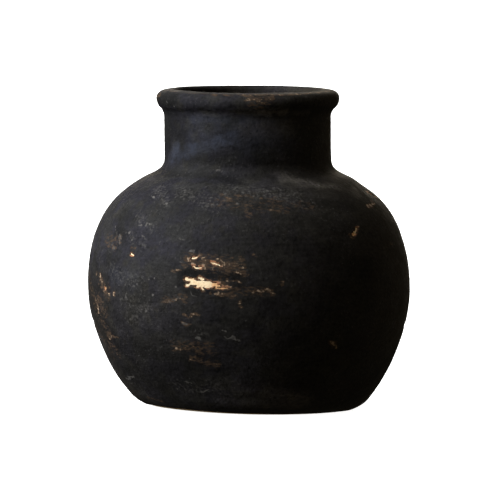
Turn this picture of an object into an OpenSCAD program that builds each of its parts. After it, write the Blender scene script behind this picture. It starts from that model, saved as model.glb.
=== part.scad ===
// Round-bellied clay pot with a short straight neck and a rolled lip.
// It is built up by hand from clay sections, luted to each other on bevelled edges, and then
// coated black. Millimetres, +Z up, origin at the centre of the foot, on the surface it stands on.

/* [Overall] */
// Height from the foot to the top of the lip
pot_h = 149.6; // [147:0.2:155]
// Widest diameter, at the belly
belly_d = 151.2; // [148:0.2:156]
// Thickness of the clay wall with the coat on its outside
wall_t = 5; // [4:0.25:6.5]
// Thickness of the black coat
coat_t = 0.4; // [0.3:0.1:0.8]
// Thickness of the clay slab that makes the floor
slab_t = 7; // [6:0.25:8]

/* [Belly curves] */
// Radius of the rounded edge of the foot
foot_r = 16; // [14:0.5:18]
// Radius of the long curve of the lower wall
lower_wall_r = 97.5; // [92:0.5:108]
// Radius of the belly below its widest point
lower_belly_r = 76.5; // [72:0.5:82]
// Radius of the belly above its widest point
upper_belly_r = 66; // [62:1:70]
// Radius of the shoulder
shoulder_r = 42.5; // [41:0.5:45]
// Slope of the wall where it meets the foot's rounded edge, from the vertical
foot_slope = 37.7; // [35:0.1:39]
// Slope of the wall where the lower belly begins, from the vertical
wall_slope = 16.4; // [14:0.1:18]
// Slope of the wall where the shoulder begins, from the vertical
belly_slope = 22.7; // [21:0.1:24]
// Slope of the shoulder where it meets the neck, from the vertical
shoulder_slope = 64.5; // [62:0.5:66]

/* [Neck and lip] */
// Outer diameter of the neck
neck_d = 78.2; // [76:0.2:80]
// Radius of the coil smoothed into the corner between shoulder and neck
root_r = 8; // [6:0.25:9]
// Outer diameter of the lip
lip_d = 85.8; // [84.6:0.2:88]
// Radius of the lip's round outer edge
lip_r = 4.6; // [4.2:0.1:5]
// Radius of the hollow between the neck and the lip
throat_r = 5.5; // [4:0.25:7]
// Radius of the lip's inner edge
lip_edge_r = 2.2; // [1.6:0.1:2.4]
// Rise of the lip's top face towards the mouth, in degrees
lip_rise = 8; // [6:0.5:12]

/* [Clay joints] */
// Height at which the lower wall is luted to the lower belly
wall_joint_z = 40; // [36:0.5:44]
// Height at which the two halves of the belly are luted together
belly_joint_z = 62; // [58:0.5:66]
// Height at which the upper belly is luted to the shoulder
shoulder_joint_z = 85; // [81:0.5:88]
// Slope of the bevelled edges that are luted together, in degrees
bevel = 35; // [25:1:40]
// Radius of the hollow that the coil between floor and wall is smoothed to
corner_r = 20; // [16:1:24]
// Thickness at which the smoothed coils run out
coil_edge = 0.8; // [0.5:0.1:1]

/* [Hidden] */

clay = "burlywood";
black = [0.09, 0.09, 0.1];

// Each arc is drawn in steps of this many degrees or fewer.
arc_step = 3;
$fn = 180;

// The coat stops this far round the foot's edge, so that the pot stands on bare clay.
coat_start = 70;
// The zones that cut the wall into sections reach this far to each side of a joint.
zone_reach = 12;

function dir(a) = [cos(a), sin(a)];

// Points round an arc, without its first, so that arcs can follow each other in one outline.
function arc(c, r, from, to) =
    let (n = ceil(abs(to - from) / arc_step))
    [for (i = [1:n]) c + r * dir(from + (to - from) * i / n)];

belly_r = belly_d / 2;
neck_r = neck_d / 2;
mouth_r = neck_r - wall_t - coat_t;

// Centres of the arcs, from the foot up. Each arc leaves the one before it at the same slope.
belly_z = foot_r - coat_t
    + (lower_belly_r - lower_wall_r) * sin(wall_slope)
    + (lower_wall_r - foot_r) * sin(foot_slope);
lower_belly_c = [belly_r - lower_belly_r, belly_z];
lower_wall_c = lower_belly_c + (lower_belly_r - lower_wall_r) * dir(-wall_slope);
foot_c = lower_wall_c + (lower_wall_r - foot_r) * dir(-foot_slope);
upper_belly_c = [belly_r - upper_belly_r, belly_z];
shoulder_c = upper_belly_c + (upper_belly_r - shoulder_r) * dir(belly_slope);
shoulder_end = shoulder_c + shoulder_r * dir(shoulder_slope);
root_x = neck_r + root_r;
root_z = shoulder_end[1]
    + (root_r - (root_x - shoulder_end[0]) * cos(shoulder_slope)) / sin(shoulder_slope);
root_c = [root_x, root_z];

// Centres of the arcs of the lip, from its inner edge back to the neck.
lip_top = 90 - lip_rise;
lip_edge_c = [mouth_r + lip_edge_r, pot_h - lip_edge_r];
lip_x = lip_d / 2 - lip_r;
lip_z = lip_edge_c[1]
    + ((lip_edge_c[0] - lip_x) * cos(lip_top) + lip_edge_r - lip_r) / sin(lip_top);
lip_c = [lip_x, lip_z];
throat_x = neck_r + throat_r;
throat_drop = sqrt(pow(lip_r + throat_r, 2) - pow(throat_x - lip_x, 2));
throat_c = [throat_x, lip_z - throat_drop];
lip_start = atan2(throat_drop, throat_x - lip_x);

// Outside of the pot, moved d into the clay: the foot's edge from an angle below its centre,
// up over belly, shoulder and neck, round the lip, and to the top of the mouth's straight wall.
function skin(d, from) = concat(
    [foot_c + (foot_r - d) * dir(-from)],
    arc(foot_c, foot_r - d, -from, -foot_slope),
    arc(lower_wall_c, lower_wall_r - d, -foot_slope, -wall_slope),
    arc(lower_belly_c, lower_belly_r - d, -wall_slope, 0),
    arc(upper_belly_c, upper_belly_r - d, 0, belly_slope),
    arc(shoulder_c, shoulder_r - d, belly_slope, shoulder_slope),
    [root_c + (root_r + d) * dir(180 + shoulder_slope)],
    arc(root_c, root_r + d, 180 + shoulder_slope, 180),
    [[neck_r - d, throat_c[1]]],
    arc(throat_c, throat_r + d, 180, 180 - lip_start),
    arc(lip_c, lip_r - d, -lip_start, lip_top),
    [lip_edge_c + (lip_edge_r - d) * dir(lip_top)],
    arc(lip_edge_c, lip_edge_r - d, lip_top, 180)
);

// Inside of the clay wall, from the floor up to the straight wall of the neck.
inner_start = asin((foot_c[1] - slab_t) / (foot_r - wall_t));
function hollow() = concat(
    [[0, slab_t], foot_c + (foot_r - wall_t) * dir(-inner_start)],
    arc(foot_c, foot_r - wall_t, -inner_start, -foot_slope),
    arc(lower_wall_c, lower_wall_r - wall_t, -foot_slope, -wall_slope),
    arc(lower_belly_c, lower_belly_r - wall_t, -wall_slope, 0),
    arc(upper_belly_c, upper_belly_r - wall_t, 0, belly_slope),
    arc(shoulder_c, shoulder_r - wall_t, belly_slope, shoulder_slope),
    [root_c + (root_r + wall_t) * dir(180 + shoulder_slope)],
    arc(root_c, root_r + wall_t, 180 + shoulder_slope, 180),
    [[mouth_r + coat_t, pot_h + 1], [0, pot_h + 1]]
);

// All the clay of the pot as one half section, before it is divided into its pieces.
module clay_section() {
    difference() {
        polygon(concat([[0, 0]], skin(coat_t, 90), [[0, pot_h - lip_edge_r]]));
        polygon(hollow());
    }
}

// A joint is a point in the wall and the slope of the edges luted there.
function joint(x, z, slope) = [x, z, slope];
function at_joint(j, reach) = [j[0] + reach, j[1] - reach * tan(j[2])];

slab_joint = joint(foot_c[0] + foot_r * cos(foot_slope), slab_t, 0);
wall_joint = joint(belly_r - wall_t, wall_joint_z, bevel);
belly_joint = joint(belly_r - wall_t / 2, belly_joint_z, bevel);
shoulder_joint = joint(belly_r - wall_t * 1.5, shoulder_joint_z, bevel);
neck_joint = joint(neck_r - wall_t / 2, root_z - root_r * sin(shoulder_slope), 0);
lip_joint = joint(neck_r - wall_t / 2, throat_c[1], bevel);

// The clay between two joints, the lower one first, turned round the pot's axis.
module clay_ring(low, high) {
    rotate_extrude()
        intersection() {
            clay_section();
            polygon([
                at_joint(low, -zone_reach), at_joint(low, zone_reach),
                at_joint(high, zone_reach), at_joint(high, -zone_reach)
            ]);
        }
}

// Flat floor with the foot's rounded edge.
module base_slab() {
    color(clay)
        rotate_extrude()
            intersection() {
                clay_section();
                square([belly_r, slab_t]);
            }
}

// Coil pressed into the corner inside, where the wall stands on the slab. Its hollow face is
// an arc that touches floor and wall; the coil runs out before it is thinner than its edge.
module floor_corner_coil() {
    inner_r = lower_wall_r - wall_t;
    z = slab_t + corner_r;
    x = lower_wall_c[0] + sqrt(pow(inner_r - corner_r, 2) - pow(z - lower_wall_c[1], 2));
    wall_touch = lower_wall_c + inner_r * dir(atan2(z - lower_wall_c[1], x - lower_wall_c[0]));
    run_out = sqrt(2 * corner_r * coil_edge);
    color(clay)
        rotate_extrude()
            difference() {
                intersection() {
                    polygon(hollow());
                    translate([x + run_out, slab_t])
                        square([belly_r, wall_touch[1] - run_out - slab_t]);
                }
                translate([x, z]) circle(corner_r);
            }
}

// Lowest course of the wall, standing on the slab.
module lower_wall() {
    color(clay) clay_ring(slab_joint, wall_joint);
}

// Course of the wall up to the girth.
module lower_belly() {
    color(clay) clay_ring(wall_joint, belly_joint);
}

// Course of the wall from the girth to the shoulder.
module upper_belly() {
    color(clay) clay_ring(belly_joint, shoulder_joint);
}

// Course that closes in over the belly, with the hole that the neck stands over.
module shoulder() {
    color(clay) clay_ring(shoulder_joint, neck_joint);
}

// Where the corner between shoulder and neck is filled by a coil, against the neck's bevelled
// foot.
module root_corner() {
    polygon([
        [neck_r - wall_t / 2, neck_joint[1]],
        [neck_r - coat_t - coil_edge, root_z],
        [neck_r + root_r, root_z],
        [neck_r + root_r, neck_joint[1]]
    ]);
}

// Coil smoothed into the corner between shoulder and neck.
module neck_root_coil() {
    color(clay)
        rotate_extrude()
            intersection() {
                clay_section();
                root_corner();
            }
}

// Straight neck, standing on the shoulder.
module neck_collar() {
    color(clay)
        difference() {
            clay_ring(neck_joint, lip_joint);
            rotate_extrude() root_corner();
        }
}

// Lip rolled outwards at the top of the neck.
module rolled_lip() {
    color(clay) clay_ring(lip_joint, joint(neck_r, pot_h + zone_reach, 0));
}

// Black coat over the whole outside, round the lip and down inside the neck.
module black_coat() {
    outside = skin(0, coat_start);
    inside = skin(coat_t, coat_start);
    n = len(inside);
    color(black)
        rotate_extrude()
            polygon(concat(
                outside,
                [[mouth_r, root_z], [mouth_r + coat_t, root_z]],
                [for (i = [1:n]) inside[n - i]]
            ));
}

base_slab();
floor_corner_coil();
lower_wall();
lower_belly();
upper_belly();
shoulder();
neck_root_coil();
neck_collar();
rolled_lip();
black_coat();
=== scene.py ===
"""A hand-built, round-bellied clay pot, coated black over buff clay.

Every piece is turned from the pot's outline in dense rings, then given the relief of hand work:
undulations, wiping ridges, grit and chips in the coat. Sizes are in millimetres, in the frame of
the CAD model, until the meshes are made in metres. The front faces -Y; angles go round to the
right from there, seen from above.
"""
import math

import bpy
import numpy as np
from mathutils import Euler, Matrix, Vector


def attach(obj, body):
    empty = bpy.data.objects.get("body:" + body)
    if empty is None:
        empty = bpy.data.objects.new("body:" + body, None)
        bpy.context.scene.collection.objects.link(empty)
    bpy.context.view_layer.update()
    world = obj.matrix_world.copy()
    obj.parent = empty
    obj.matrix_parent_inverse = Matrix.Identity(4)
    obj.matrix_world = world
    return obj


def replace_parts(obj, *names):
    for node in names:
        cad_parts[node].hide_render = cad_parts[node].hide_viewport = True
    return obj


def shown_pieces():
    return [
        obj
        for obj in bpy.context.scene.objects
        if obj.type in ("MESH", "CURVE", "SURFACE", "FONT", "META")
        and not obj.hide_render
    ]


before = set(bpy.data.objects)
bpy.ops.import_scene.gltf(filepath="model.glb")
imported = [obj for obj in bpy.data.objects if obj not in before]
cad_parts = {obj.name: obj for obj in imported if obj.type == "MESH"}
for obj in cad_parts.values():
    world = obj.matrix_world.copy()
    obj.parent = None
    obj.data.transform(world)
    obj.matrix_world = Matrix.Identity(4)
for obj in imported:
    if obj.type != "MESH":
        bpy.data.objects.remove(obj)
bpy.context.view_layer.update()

# ---------------------------------------- outline of the pot

POT_H = 149.6
BELLY_R = 75.6
WALL = 5.0
COAT = 0.4
SLAB = 7.0
# radii of the arcs from the foot up, and the slopes in degrees where one meets the next
FOOT_ARC, LOWER_ARC, BELLY_LOW_ARC, BELLY_HIGH_ARC, SHOULDER_ARC = 16.0, 97.5, 76.5, 66.0, 42.5
FOOT_SLOPE, WALL_SLOPE, BELLY_SLOPE, SHOULDER_SLOPE = 37.7, 16.4, 22.7, 64.5
NECK_R, ROOT_ARC = 39.1, 8.0
LIP_R, LIP_ARC, THROAT_ARC, LIP_EDGE_ARC, LIP_RISE = 42.9, 4.6, 5.5, 2.2, 8.0
MOUTH_R = NECK_R - WALL - COAT
COAT_START = 70.0  # slope of the foot's arc, in degrees, where the coat starts
WALL_JOINT, BELLY_JOINT, SHOULDER_JOINT, LIP_JOINT = 40.0, 62.0, 85.0, 137.0  # heights
BEVEL = 35.0  # slope of the joints between the courses, in degrees
ARC_STEP = 0.5  # degrees between the points of an arc


def unit(degrees):
    a = np.radians(degrees)
    return np.stack([np.cos(a), np.sin(a)], axis=-1)


def make_outline():
    """Points (r, z) and outward normals of the coated outside, from under the foot's edge, up
    and over the lip, and down the mouth to the foot of the neck, with the length along it at
    each point, and the centre of the arc at the neck's root."""
    belly_z = (FOOT_ARC - COAT + (BELLY_LOW_ARC - LOWER_ARC) * unit(WALL_SLOPE)[1]
               + (LOWER_ARC - FOOT_ARC) * unit(FOOT_SLOPE)[1])
    low_belly = np.array([BELLY_R - BELLY_LOW_ARC, belly_z])
    lower = low_belly + (BELLY_LOW_ARC - LOWER_ARC) * unit(-WALL_SLOPE)
    foot = lower + (LOWER_ARC - FOOT_ARC) * unit(-FOOT_SLOPE)
    high_belly = np.array([BELLY_R - BELLY_HIGH_ARC, belly_z])
    shoulder = high_belly + (BELLY_HIGH_ARC - SHOULDER_ARC) * unit(BELLY_SLOPE)
    end = shoulder + SHOULDER_ARC * unit(SHOULDER_SLOPE)
    cos_s, sin_s = unit(SHOULDER_SLOPE)
    root_r = NECK_R + ROOT_ARC
    root = np.array([root_r, end[1] + (ROOT_ARC - (root_r - end[0]) * cos_s) / sin_s])
    top = 90.0 - LIP_RISE
    cos_t, sin_t = unit(top)
    edge = np.array([MOUTH_R + LIP_EDGE_ARC, POT_H - LIP_EDGE_ARC])
    lip_r = LIP_R - LIP_ARC
    lip = np.array([lip_r, edge[1] + ((edge[0] - lip_r) * cos_t + LIP_EDGE_ARC - LIP_ARC) / sin_t])
    throat_r = NECK_R + THROAT_ARC
    drop = math.sqrt((LIP_ARC + THROAT_ARC) ** 2 - (throat_r - lip_r) ** 2)
    throat = np.array([throat_r, lip[1] - drop])
    under = math.degrees(math.atan2(drop, throat_r - lip_r))

    points, normals = [], []

    def arc(centre, radius, start, stop, side=1):
        a = np.linspace(start, stop, max(2, int(abs(stop - start) / ARC_STEP)))
        points.append(centre + radius * unit(a))
        normals.append(side * unit(a))

    arc(foot, FOOT_ARC, -90, -FOOT_SLOPE)
    arc(lower, LOWER_ARC, -FOOT_SLOPE, -WALL_SLOPE)
    arc(low_belly, BELLY_LOW_ARC, -WALL_SLOPE, 0)
    arc(high_belly, BELLY_HIGH_ARC, 0, BELLY_SLOPE)
    arc(shoulder, SHOULDER_ARC, BELLY_SLOPE, SHOULDER_SLOPE)
    arc(root, ROOT_ARC, 180 + SHOULDER_SLOPE, 180, -1)
    arc(throat, THROAT_ARC, 180, 180 - under, -1)
    arc(lip, LIP_ARC, -under, top)
    arc(edge, LIP_EDGE_ARC, top, 180)
    points.append(np.array([[MOUTH_R, root[1]]]))
    normals.append(np.array([[-1.0, 0.0]]))
    points, normals = np.concatenate(points), np.concatenate(normals)
    steps = np.hypot(*np.diff(points, axis=0).T)
    keep = np.concatenate([[True], steps > 1e-6])
    points, normals = points[keep], normals[keep]
    length = np.concatenate([[0], np.cumsum(np.hypot(*np.diff(points, axis=0).T))])
    return points, normals, length, root


OUT_P, OUT_N, OUT_S, ROOT_C = make_outline()
TOP_I = int(np.argmax(OUT_P[:, 1]))
# lengths along the outline where the coat starts and where it ends, down in the mouth
S_FOOT = FOOT_ARC * math.radians(90 - COAT_START)
S_END = float(OUT_S[-1])


def along(s, depth=0.0):
    """Points and normals of the outline at the lengths s, moved depth into the clay."""
    p = np.stack([np.interp(s, OUT_S, OUT_P[:, k]) for k in (0, 1)], axis=-1)
    n = np.stack([np.interp(s, OUT_S, OUT_N[:, k]) for k in (0, 1)], axis=-1)
    n /= np.linalg.norm(n, axis=-1, keepdims=True)
    return p - n * np.asarray(depth)[..., None], n


def length_at(z, depth=0.0):
    """Length along the outline where its outside, moved depth into the clay, reaches height z."""
    zs = OUT_P[:TOP_I, 1] - OUT_N[:TOP_I, 1] * depth
    return np.interp(z, np.maximum.accumulate(zs), OUT_S[:TOP_I])


# ---------------------------------------- noise

GRADS = np.array([[1, 1, 0], [-1, 1, 0], [1, -1, 0], [-1, -1, 0], [1, 0, 1], [-1, 0, 1],
                  [1, 0, -1], [-1, 0, -1], [0, 1, 1], [0, -1, 1], [0, 1, -1], [0, -1, -1]],
                 dtype=np.float32)


def noise(p, size, seed=0):
    """Smooth noise from -1 to 1 over the points p, with features of the given size or sizes.
    The large odd numbers mix a cell's whole numbers into one of the 12 directions."""
    p = (np.asarray(p) / np.asarray(size)).astype(np.float32)
    cell = np.floor(p)
    f = p - cell
    cell = cell.astype(np.int64)
    w = f * f * f * (f * (f * 6 - 15) + 10)
    total = np.zeros(p.shape[:-1], dtype=np.float32)
    for corner in np.ndindex(2, 2, 2):
        c = cell + corner
        h = (c[..., 0] * 374761393 + c[..., 1] * 668265263 + c[..., 2] * 1440662683
             + seed * 1274126177) & 0xFFFFFFFF
        h = ((h ^ (h >> 13)) * 1274126177) & 0xFFFFFFFF
        g = GRADS[(h ^ (h >> 16)) % 12]
        weight = np.prod(np.where(corner, w, 1 - w), axis=-1)
        total += weight * np.sum(g * (f - np.array(corner, dtype=np.float32)), axis=-1)
    return total


def ramp(x, low, high):
    """Rises smoothly from 0 to 1 as x goes from low to high."""
    t = np.clip((x - low) / (high - low), 0, 1)
    return t * t * (3 - 2 * t)


# ---------------------------------------- form of the hand-made pot

LEAN = math.tan(math.radians(1.2))
RIM_TILT = math.tan(math.radians(0.55))
FOOT_LIFT, LIFT_ANGLE, LIFT_WIDE = 1.9, -58, 42  # the foot's edge rises here, in mm and degrees

# Places where the wall stands out from a true round or falls inside it:
# angle, height, reach round the pot in degrees, reach in height, amount outwards.
SWELLS = [
    (-90, 12, 40, 10, 0.4),
    (-90, 44, 30, 7, 0.2),
    (-90, 108, 40, 6, 0.4),
    (-90, 109.4, 40, 2.6, 1.3),
    (-90, 143, 40, 2.2, -0.4),
    (88, 12, 40, 10, 0.1),
    (92, 100, 45, 12, 0.75),
    (92, 109.2, 40, 2.8, 2.5),
    (90, 149, 45, 3.2, 0.7),
    (150, 70, 40, 25, -0.5),
    (-150, 40, 35, 20, 0.4),
]


def turn_difference(a, b):
    """Angle a less angle b, from -180 to 180."""
    return (a - b + 180) % 360 - 180


def bend(p):
    """The hand-made pot's departures from a true round, applied to points in mm."""
    x, y, z = p[..., 0], p[..., 1], p[..., 2]
    r = np.hypot(x, y)
    angle = np.degrees(np.arctan2(x, -y))
    out = 0.30 * noise(p, 46, 1) + 0.16 * noise(p, 19, 2)
    for a, height, wide, tall, amount in SWELLS:
        out = out + amount * np.exp(-(turn_difference(angle, a) / wide) ** 2
                                    - ((z - height) / tall) ** 2)
    scale = 1 + out * ramp(r, 5, 35) / np.maximum(r, 1)
    lift = FOOT_LIFT * np.exp(-(turn_difference(angle, LIFT_ANGLE) / LIFT_WIDE) ** 2)
    lift = lift * ramp(r, 34, 56) * (1 - ramp(z, 4, 26))
    rim = 0.25 * noise(np.stack([x, y, z * 0 + 5], axis=-1), 38, 3)
    rim = rim + 0.2 - 0.4 * np.exp(-(turn_difference(angle, 0) / 55) ** 2)
    rim = rim * ramp(z, 120, 146)
    tilt = RIM_TILT * x * ramp(z, 100, 149)
    return np.stack([x * scale - LEAN * z, y * scale, z + lift + rim + tilt], axis=-1)


# ---------------------------------------- marks in and on the coat

# Each mark is a stroke over the surface. Within a group the strokes are listed from left to right,
# and where strokes lie over each other the strongest one counts, so their order has no effect.

# Chips, where the coat has come off the clay: from angle and height to angle and height, and a
# half width in mm.
CHIPS = [
    # the largest chip, forked at its left end and running out thinly to the right
    (-22.6, 64.5, -19.5, 63.7, 0.8), (-22.2, 61.6, -20, 62.6, 0.75),
    (-20.4, 63.2, -18, 62.8, 1.3), (-18, 62.5, -14.6, 62.3, 1.75),
    (-17.8, 65.2, -16.2, 64.7, 0.6), (-16.8, 60.8, -16.3, 59.8, 0.6),
    (-14.8, 63.4, -11.6, 62.9, 0.55), (-14.6, 62.3, -10.4, 61.6, 0.72),
    (-14.6, 61.5, -13.4, 61.3, 0.5), (-11.8, 60.9, -8.8, 60.7, 0.5),
    (-9.2, 60.6, -7.4, 60.6, 0.36),
    # flecks over it, at the left and at the right
    (-63, 57.6, -62.7, 57.4, 0.45), (-47.8, 74.6, -46.6, 73.8, 0.44),
    (-20.6, 74.2, -18.9, 74.7, 0.42), (-20, 70.3, -18.8, 69.6, 0.38),
    (-18.8, 69.6, -17, 69.9, 0.42), (-13.6, 72.5, -10.4, 71.4, 0.44),
    (43.8, 84.9, 45.5, 86.2, 0.7), (45.3, 86, 46.8, 87.8, 0.5), (81.5, 101.2, 78.5, 102.4, 0.75),
]

# Places where the bared clay is ochre: angle, height, and reach in mm.
OCHRE = [(-9.8, 61.0, 6.0), (-23.4, 62.6, 1.8), (43.6, 85.4, 2.4), (-62.9, 57.5, 2.0)]

# Places rubbed thin, where the buff clay shows brown or tan through the coat: a stroke as for the
# chips, and a strength.
RUBBED = [
    # round and over the largest chip
    (-27.8, 67.8, -27.2, 67.8, 0.6, 0.7), (-25.8, 68.3, -25.4, 68.3, 0.6, 0.95),
    (-24.2, 70, -22.8, 70.1, 0.5, 0.6), (-21.9, 73.4, -21, 74.3, 0.6, 0.85),
    (-21.5, 73, -15.5, 72, 3.6, 0.5), (-20.8, 74.3, -18.4, 75, 0.8, 1),
    (-20.8, 71.3, -19.2, 69.7, 0.7, 1), (-19.2, 69.7, -16.5, 70.2, 0.7, 1),
    (-18, 76.4, -16.4, 74.4, 0.7, 0.75), (-15.5, 72.4, -5, 71, 4.2, 0.6),
    (-14.2, 72.8, -12.2, 71.8, 0.9, 0.95), (-13.6, 62.9, -8.2, 61.4, 1.7, 1),
    (-13.6, 57.6, -13.3, 57.3, 0.6, 0.9), (-12.2, 71.8, -8.8, 71, 0.6, 0.95),
    (-11.6, 74, -11, 74, 0.5, 0.85), (-11.5, 58.4, -11.1, 58.4, 0.55, 0.9),
    (-10.5, 64.3, -10.1, 64.3, 0.5, 0.7), (-10, 70.5, -2, 69, 2.4, 0.6),
    (-9.9, 57.8, -7.2, 57.6, 0.7, 0.8), (-9, 60.8, -6.6, 60.7, 0.6, 0.85),
    (-9, 60, 8, 59.2, 2, 0.4), (-7.9, 64.2, -7.1, 64.2, 0.55, 0.9),
    (-7.1, 64.1, -3.3, 63.8, 0.35, 0.7), (-6.3, 57.1, -4.2, 57, 0.5, 0.75),
    (-4.1, 68.2, -2.6, 67, 0.6, 0.8), (-3.1, 54.5, -2.8, 54, 0.5, 0.95),
    (-2.4, 52.7, -2.1, 52.2, 0.45, 0.8), (1.6, 58.9, 2.1, 58.8, 0.6, 0.85),
    (1.6, 76, 2.3, 76, 0.5, 0.8), (3.6, 59.7, 4.1, 59.7, 0.65, 0.9),
    (5.2, 59.9, 6.6, 60.4, 0.7, 0.85), (6.6, 59.3, 8.2, 59.6, 0.6, 0.8),
    (12, 63.4, 12.5, 63.4, 0.5, 0.85),
    # to the left of it and below
    (-32.2, 53.1, -29.8, 54.4, 0.5, 0.6), (-31, 54.5, -23, 55.5, 1.6, 0.4),
    (-30.2, 54.2, -23.8, 55.4, 0.7, 0.6), (-29.5, 33, -14, 32.6, 3, 0.38),
    (-28.4, 31.4, -28, 31.2, 0.55, 1), (-27, 32.6, -20, 32.2, 0.8, 0.58),
    (-26.8, 54.3, -26.3, 54.3, 0.5, 1), (-24.8, 44.3, -22.5, 43.2, 0.6, 0.66),
    (-23.8, 47.8, -21, 46.9, 0.45, 0.9), (-23.6, 26.7, -22.4, 26.6, 0.5, 0.95),
    (-22.2, 26.5, -13.5, 24.8, 2, 0.4), (-21, 48.2, -17.9, 48.2, 0.4, 0.8),
    (-19, 30.5, -13.5, 29.5, 0.9, 0.45),
    # far left
    (-80, 60, -66, 36, 4, 0.3), (-80, 38, -70, 26, 5, 0.2), (-72.3, 51.8, -71.2, 49, 0.6, 0.8),
    (-71.2, 49, -70.2, 45.4, 0.75, 0.9), (-69.8, 64, -67.2, 62.8, 0.5, 0.65),
    (-69, 52, -64, 46, 3, 0.42), (-68, 31, -63, 27, 2.5, 0.35),
    (-67.1, 33.8, -66.7, 33.5, 0.8, 1), (-66.9, 62.6, -65.6, 61, 0.75, 0.95),
    (-66.9, 34.6, -63, 35.2, 1.4, 0.6), (-66, 60, -61, 54, 2.2, 0.5),
    (-66, 78.6, -62, 77.6, 1.2, 0.44), (-66, 80.5, -58, 80.5, 3, 0.29),
    (-63.1, 57.7, -62.6, 57.3, 0.8, 1), (-62, 77.6, -58.5, 76.5, 1, 0.56),
    (-61.5, 35, -59.5, 35, 0.55, 0.8), (-60.8, 54.9, -60.2, 54.7, 0.65, 0.95),
    (-60, 4, -50, 3.2, 0.6, 0.52), (-59.8, 58.7, -58.9, 58.3, 0.5, 0.7),
    (-57.3, 82.3, -55.4, 79.8, 1, 0.5), (-56.4, 55.3, -55.9, 55.2, 0.65, 0.95),
    (-56.2, 79.8, -55.6, 78.8, 0.6, 0.45), (-48, 77.4, -46.4, 77.8, 0.6, 0.42),
    # shoulder and right
    (-12, 101, 14, 99, 6, 0.27), (-10.6, 102.2, -7.4, 100.6, 1.7, 0.52),
    (-2.8, 99.8, 0, 97, 1.4, 0.36), (-0.6, 97, 0.2, 93.7, 1, 0.4), (8.2, 96.6, 16.8, 96, 1, 0.48),
    (21, 99, 29, 98, 3, 0.24), (30.6, 35.9, 34.7, 33.4, 0.75, 0.85),
    (33.6, 34.2, 34.9, 33.4, 0.6, 1), (42.8, 84.4, 47.2, 88, 1.1, 0.72),
    (62.5, 97, 70, 98, 1.1, 1), (65.9, 79.9, 67.5, 79.8, 0.6, 0.6),
    (83.5, 100.2, 76.5, 103, 1.2, 1),
    # lip, and its worn upper edge
    (-69, 149.2, -3, 148.8, 0.6, 0.4), (-3, 148.9, 30, 149.1, 0.9, 0.62),
    (0, 147.2, 15, 147.6, 0.9, 0.66), (2.9, 145.9, 13.1, 146.6, 2, 0.5),
    (4, 144.5, 10, 144, 1, 0.45), (30, 149.1, 75, 149.2, 0.8, 0.7),
]

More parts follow.
